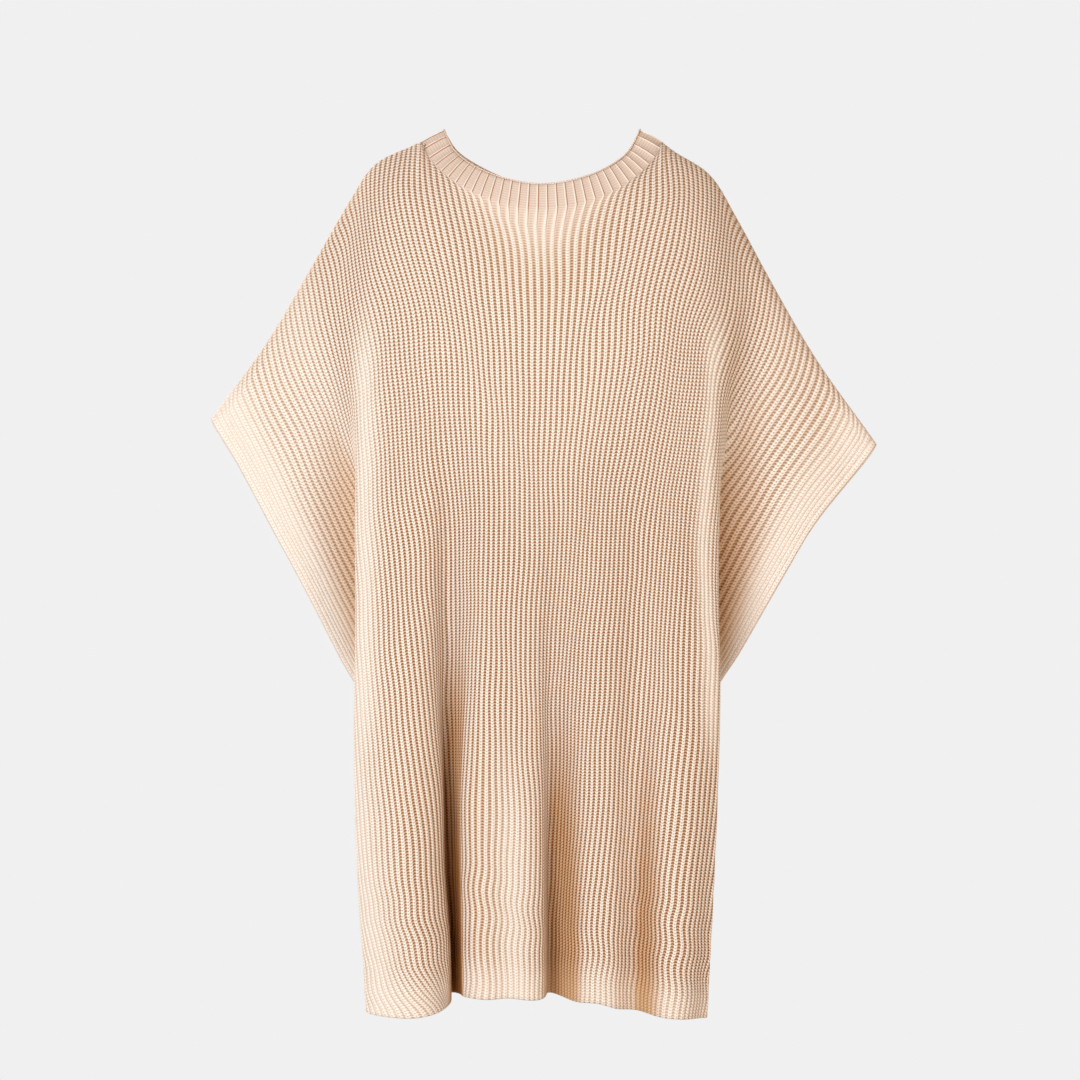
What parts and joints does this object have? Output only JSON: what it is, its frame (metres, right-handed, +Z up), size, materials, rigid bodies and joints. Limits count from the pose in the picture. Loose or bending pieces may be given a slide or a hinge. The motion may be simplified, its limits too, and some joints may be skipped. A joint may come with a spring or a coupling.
{
  "type": "batwing poncho sweater",
  "caption": "Long batwing sweater in chunky vertical rib knit, hollow as worn, with wide open sleeve edges, a round ribbed neckband and a softly folded straight hem.",
  "frame": {"origin": "on the shoulder line, midway between the two high points of the neckline, where the wearer's shoulders hold the sweater up", "axes": "+Z up, the front faces -Y, +X towards the wearer's left"},
  "size_m": [0.698, 0.2319, 0.9142],
  "materials": {
    "rib_knit": "chunky cotton rib knit, warm cream",
    "neckband_knit": "flat rib knit band, warm cream"
  },
  "bodies": {
    "root": {"front_panel": "rib_knit", "back_panel": "rib_knit", "neck_band_front": "neckband_knit", "neck_band_back": "neckband_knit"}
  },
  "joints": []
}
